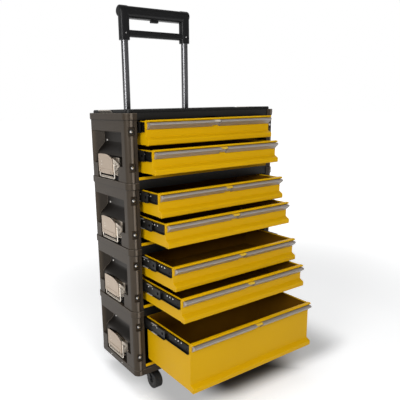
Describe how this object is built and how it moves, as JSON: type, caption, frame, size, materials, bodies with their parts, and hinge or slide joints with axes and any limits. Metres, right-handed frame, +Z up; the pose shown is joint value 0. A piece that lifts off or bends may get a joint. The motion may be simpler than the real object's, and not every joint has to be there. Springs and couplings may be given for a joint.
{
  "type": "rolling tool box",
  "caption": "Stack of drawer modules on a castor base, held together by draw latches at the sides, with a telescopic pull handle behind.",
  "frame": {"origin": "on the floor, at the middle of the overall width and depth with the drawers and handle as they stand", "axes": "+Z up, drawers open towards -Y, +X to the right seen from the back"},
  "size_m": [0.525, 0.5049, 1.1185],
  "materials": {
    "panel_plastic": "moulded, fine texture",
    "black_paint": "black powder coat",
    "drawer_paint": "yellow paint; its handle strip is grey aluminium and its slide members black steel",
    "yellow_paint": "yellow paint",
    "yellow_plastic": "moulded",
    "slide_steel": "black coated steel",
    "screw_steel": "dome-headed, bright zinc",
    "latch_steel": "nickel plate, warm",
    "latch_wire": "nickel plated wire",
    "handle_tube": "bright anodised",
    "grip_plastic": "moulded black",
    "castor_steel": "black zinc",
    "wheel_rubber": "moulded tread"
  },
  "bodies": {
    "stack": {"base_frame": "panel_plastic", "castor_brackets": "castor_steel", "module_shell_1": "black_paint", "module_shell_2": "black_paint", "module_shell_3": "black_paint", "module_shell_4": "black_paint", "side_panels_left": "panel_plastic", "side_panels_right": "panel_plastic", "front_sills": "yellow_paint", "panel_fasteners": "screw_steel", "cabinet_slides": "slide_steel", "latch_brackets": "latch_steel", "latch_keepers": "latch_steel", "handle_sleeves": "black_paint"},
    "handle": {"handle_tubes": "handle_tube", "handle_grip": "grip_plastic"},
    "button": {"handle_button": "grip_plastic"},
    "fork_left": {"castor_fork_left": "castor_steel"},
    "front_wheel_left": {"front_wheel_left": "wheel_rubber"},
    "back_wheel_left": {"back_wheel_left": "wheel_rubber"},
    "fork_right": {"castor_fork_right": "castor_steel"},
    "front_wheel_right": {"front_wheel_right": "wheel_rubber"},
    "back_wheel_right": {"back_wheel_right": "wheel_rubber"},
    "lever_1_left": {"latch_lever_1_left": "latch_steel"},
    "bail_1_left": {"latch_bail_1_left": "latch_wire"},
    "lever_1_right": {"latch_lever_1_right": "latch_steel"},
    "bail_1_right": {"latch_bail_1_right": "latch_wire"},
    "lever_2_left": {"latch_lever_2_left": "latch_steel"},
    "bail_2_left": {"latch_bail_2_left": "latch_wire"},
    "lever_2_right": {"latch_lever_2_right": "latch_steel"},
    "bail_2_right": {"latch_bail_2_right": "latch_wire"},
    "lever_3_left": {"latch_lever_3_left": "latch_steel"},
    "bail_3_left": {"latch_bail_3_left": "latch_wire"},
    "lever_3_right": {"latch_lever_3_right": "latch_steel"},
    "bail_3_right": {"latch_bail_3_right": "latch_wire"},
    "lever_4_left": {"latch_lever_4_left": "latch_steel"},
    "bail_4_left": {"latch_bail_4_left": "latch_wire"},
    "lever_4_right": {"latch_lever_4_right": "latch_steel"},
    "bail_4_right": {"latch_bail_4_right": "latch_wire"},
    "drawer_1": {"drawer_1": "drawer_paint"},
    "slides_1": {"drawer_slides_1": "slide_steel"},
    "catch_1": {"drawer_catch_1": "yellow_plastic"},
    "drawer_2": {"drawer_2": "drawer_paint"},
    "slides_2": {"drawer_slides_2": "slide_steel"},
    "catch_2": {"drawer_catch_2": "yellow_plastic"},
    "drawer_3": {"drawer_3": "drawer_paint"},
    "slides_3": {"drawer_slides_3": "slide_steel"},
    "catch_3": {"drawer_catch_3": "yellow_plastic"},
    "drawer_4": {"drawer_4": "drawer_paint"},
    "slides_4": {"drawer_slides_4": "slide_steel"},
    "catch_4": {"drawer_catch_4": "yellow_plastic"},
    "drawer_5": {"drawer_5": "drawer_paint"},
    "slides_5": {"drawer_slides_5": "slide_steel"},
    "catch_5": {"drawer_catch_5": "yellow_plastic"},
    "drawer_6": {"drawer_6": "drawer_paint"},
    "slides_6": {"drawer_slides_6": "slide_steel"},
    "catch_6": {"drawer_catch_6": "yellow_plastic"},
    "drawer_7": {"drawer_7": "drawer_paint"},
    "slides_7": {"drawer_slides_7": "slide_steel"},
    "catch_7": {"drawer_catch_7": "yellow_plastic"}
  },
  "joints": [
    {"name": "handle_slide", "type": "slide", "parent": "stack", "child": "handle", "axis": [0, 0, 1], "range_m": [-0.21, 0]},
    {"name": "button_press", "type": "slide", "parent": "handle", "child": "button", "axis": [0, 0, 1], "range_m": [0, 0.004], "stiffness_N_per_m": 400, "springref_m": -0.002},
    {"name": "fork_left_swivel", "type": "hinge", "parent": "stack", "child": "fork_left", "pos_m": [-0.185, 0.01215, 0.054], "axis": [0, 0, 1], "continuous": true},
    {"name": "front_wheel_left_spin", "type": "hinge", "parent": "fork_left", "child": "front_wheel_left", "pos_m": [-0.185, -0.00585, 0.025], "axis": [1, 0, 0], "continuous": true},
    {"name": "back_wheel_left_spin", "type": "hinge", "parent": "stack", "child": "back_wheel_left", "pos_m": [-0.185, 0.16715, 0.025], "axis": [1, 0, 0], "continuous": true},
    {"name": "fork_right_swivel", "type": "hinge", "parent": "stack", "child": "fork_right", "pos_m": [0.185, 0.01215, 0.054], "axis": [0, 0, 1], "continuous": true},
    {"name": "front_wheel_right_spin", "type": "hinge", "parent": "fork_right", "child": "front_wheel_right", "pos_m": [0.185, -0.00585, 0.025], "axis": [1, 0, 0], "continuous": true},
    {"name": "back_wheel_right_spin", "type": "hinge", "parent": "stack", "child": "back_wheel_right", "pos_m": [0.185, 0.16715, 0.025], "axis": [1, 0, 0], "continuous": true},
    {"name": "lever_1_left_hinge", "type": "hinge", "parent": "stack", "child": "lever_1_left", "pos_m": [-0.2564, 0.09815, 0.644], "axis": [0, -1, 0], "range_deg": [0, 120]},
    {"name": "bail_1_left_hinge", "type": "hinge", "parent": "lever_1_left", "child": "bail_1_left", "pos_m": [-0.2564, 0.09815, 0.672], "axis": [0, -1, 0], "range_deg": [-120, 0]},
    {"name": "lever_1_right_hinge", "type": "hinge", "parent": "stack", "child": "lever_1_right", "pos_m": [0.2564, 0.09815, 0.644], "axis": [0, 1, 0], "range_deg": [0, 120]},
    {"name": "bail_1_right_hinge", "type": "hinge", "parent": "lever_1_right", "child": "bail_1_right", "pos_m": [0.2564, 0.09815, 0.672], "axis": [0, 1, 0], "range_deg": [-120, 0]},
    {"name": "lever_2_left_hinge", "type": "hinge", "parent": "stack", "child": "lever_2_left", "pos_m": [-0.2564, 0.09815, 0.464], "axis": [0, -1, 0], "range_deg": [0, 120]},
    {"name": "bail_2_left_hinge", "type": "hinge", "parent": "lever_2_left", "child": "bail_2_left", "pos_m": [-0.2564, 0.09815, 0.492], "axis": [0, -1, 0], "range_deg": [-120, 0]},
    {"name": "lever_2_right_hinge", "type": "hinge", "parent": "stack", "child": "lever_2_right", "pos_m": [0.2564, 0.09815, 0.464], "axis": [0, 1, 0], "range_deg": [0, 120]},
    {"name": "bail_2_right_hinge", "type": "hinge", "parent": "lever_2_right", "child": "bail_2_right", "pos_m": [0.2564, 0.09815, 0.492], "axis": [0, 1, 0], "range_deg": [-120, 0]},
    {"name": "lever_3_left_hinge", "type": "hinge", "parent": "stack", "child": "lever_3_left", "pos_m": [-0.2564, 0.09815, 0.284], "axis": [0, -1, 0], "range_deg": [0, 120]},
    {"name": "bail_3_left_hinge", "type": "hinge", "parent": "lever_3_left", "child": "bail_3_left", "pos_m": [-0.2564, 0.09815, 0.312], "axis": [0, -1, 0], "range_deg": [-120, 0]},
    {"name": "lever_3_right_hinge", "type": "hinge", "parent": "stack", "child": "lever_3_right", "pos_m": [0.2564, 0.09815, 0.284], "axis": [0, 1, 0], "range_deg": [0, 120]},
    {"name": "bail_3_right_hinge", "type": "hinge", "parent": "lever_3_right", "child": "bail_3_right", "pos_m": [0.2564, 0.09815, 0.312], "axis": [0, 1, 0], "range_deg": [-120, 0]},
    {"name": "lever_4_left_hinge", "type": "hinge", "parent": "stack", "child": "lever_4_left", "pos_m": [-0.2564, 0.09815, 0.104], "axis": [0, -1, 0], "range_deg": [0, 120]},
    {"name": "bail_4_left_hinge", "type": "hinge", "parent": "lever_4_left", "child": "bail_4_left", "pos_m": [-0.2564, 0.09815, 0.132], "axis": [0, -1, 0], "range_deg": [-120, 0]},
    {"name": "lever_4_right_hinge", "type": "hinge", "parent": "stack", "child": "lever_4_right", "pos_m": [0.2564, 0.09815, 0.104], "axis": [0, 1, 0], "range_deg": [0, 120]},
    {"name": "bail_4_right_hinge", "type": "hinge", "parent": "lever_4_right", "child": "bail_4_right", "pos_m": [0.2564, 0.09815, 0.132], "axis": [0, 1, 0], "range_deg": [-120, 0]},
    {"name": "drawer_1_slide", "type": "slide", "parent": "stack", "child": "drawer_1", "axis": [0, -1, 0], "range_m": [-0.021, 0.184]},
    {"name": "slides_1_slide", "type": "slide", "parent": "stack", "child": "slides_1", "axis": [0, -1, 0], "range_m": [-0.0105, 0.092]},
    {"name": "catch_1_press", "type": "slide", "parent": "drawer_1", "child": "catch_1", "axis": [0, 0, 1], "range_m": [-0.003, 0], "stiffness_N_per_m": 400, "springref_m": 0.002},
    {"name": "drawer_2_slide", "type": "slide", "parent": "stack", "child": "drawer_2", "axis": [0, -1, 0], "range_m": [-0.051, 0.154]},
    {"name": "slides_2_slide", "type": "slide", "parent": "stack", "child": "slides_2", "axis": [0, -1, 0], "range_m": [-0.0255, 0.077]},
    {"name": "catch_2_press", "type": "slide", "parent": "drawer_2", "child": "catch_2", "axis": [0, 0, 1], "range_m": [-0.003, 0], "stiffness_N_per_m": 400, "springref_m": 0.002},
    {"name": "drawer_3_slide", "type": "slide", "parent": "stack", "child": "drawer_3", "axis": [0, -1, 0], "range_m": [-0.074, 0.131]},
    {"name": "slides_3_slide", "type": "slide", "parent": "stack", "child": "slides_3", "axis": [0, -1, 0], "range_m": [-0.037, 0.0655]},
    {"name": "catch_3_press", "type": "slide", "parent": "drawer_3", "child": "catch_3", "axis": [0, 0, 1], "range_m": [-0.003, 0], "stiffness_N_per_m": 400, "springref_m": 0.002},
    {"name": "drawer_4_slide", "type": "slide", "parent": "stack", "child": "drawer_4", "axis": [0, -1, 0], "range_m": [-0.103, 0.102]},
    {"name": "slides_4_slide", "type": "slide", "parent": "stack", "child": "slides_4", "axis": [0, -1, 0], "range_m": [-0.0515, 0.051]},
    {"name": "catch_4_press", "type": "slide", "parent": "drawer_4", "child": "catch_4", "axis": [0, 0, 1], "range_m": [-0.003, 0], "stiffness_N_per_m": 400, "springref_m": 0.002},
    {"name": "drawer_5_slide", "type": "slide", "parent": "stack", "child": "drawer_5", "axis": [0, -1, 0], "range_m": [-0.132, 0.073]},
    {"name": "slides_5_slide", "type": "slide", "parent": "stack", "child": "slides_5", "axis": [0, -1, 0], "range_m": [-0.066, 0.0365]},
    {"name": "catch_5_press", "type": "slide", "parent": "drawer_5", "child": "catch_5", "axis": [0, 0, 1], "range_m": [-0.003, 0], "stiffness_N_per_m": 400, "springref_m": 0.002},
    {"name": "drawer_6_slide", "type": "slide", "parent": "stack", "child": "drawer_6", "axis": [0, -1, 0], "range_m": [-0.167, 0.038]},
    {"name": "slides_6_slide", "type": "slide", "parent": "stack", "child": "slides_6", "axis": [0, -1, 0], "range_m": [-0.0835, 0.019]},
    {"name": "catch_6_press", "type": "slide", "parent": "drawer_6", "child": "catch_6", "axis": [0, 0, 1], "range_m": [-0.003, 0], "stiffness_N_per_m": 400, "springref_m": 0.002},
    {"name": "drawer_7_slide", "type": "slide", "parent": "stack", "child": "drawer_7", "axis": [0, -1, 0], "range_m": [-0.201, 0.004]},
    {"name": "slides_7_slide", "type": "slide", "parent": "stack", "child": "slides_7", "axis": [0, -1, 0], "range_m": [-0.1005, 0.002]},
    {"name": "catch_7_press", "type": "slide", "parent": "drawer_7", "child": "catch_7", "axis": [0, 0, 1], "range_m": [-0.003, 0], "stiffness_N_per_m": 400, "springref_m": 0.002}
  ],
  "couplings": [
    {"joint": "bail_1_left_hinge", "follows": "lever_1_left_hinge", "ratio": -1},
    {"joint": "bail_1_right_hinge", "follows": "lever_1_right_hinge", "ratio": -1},
    {"joint": "bail_2_left_hinge", "follows": "lever_2_left_hinge", "ratio": -1},
    {"joint": "bail_2_right_hinge", "follows": "lever_2_right_hinge", "ratio": -1},
    {"joint": "bail_3_left_hinge", "follows": "lever_3_left_hinge", "ratio": -1},
    {"joint": "bail_3_right_hinge", "follows": "lever_3_right_hinge", "ratio": -1},
    {"joint": "bail_4_left_hinge", "follows": "lever_4_left_hinge", "ratio": -1},
    {"joint": "bail_4_right_hinge", "follows": "lever_4_right_hinge", "ratio": -1},
    {"joint": "slides_1_slide", "follows": "drawer_1_slide", "ratio": 0.5},
    {"joint": "slides_2_slide", "follows": "drawer_2_slide", "ratio": 0.5},
    {"joint": "slides_3_slide", "follows": "drawer_3_slide", "ratio": 0.5},
    {"joint": "slides_4_slide", "follows": "drawer_4_slide", "ratio": 0.5},
    {"joint": "slides_5_slide", "follows": "drawer_5_slide", "ratio": 0.5},
    {"joint": "slides_6_slide", "follows": "drawer_6_slide", "ratio": 0.5},
    {"joint": "slides_7_slide", "follows": "drawer_7_slide", "ratio": 0.5}
  ]
}
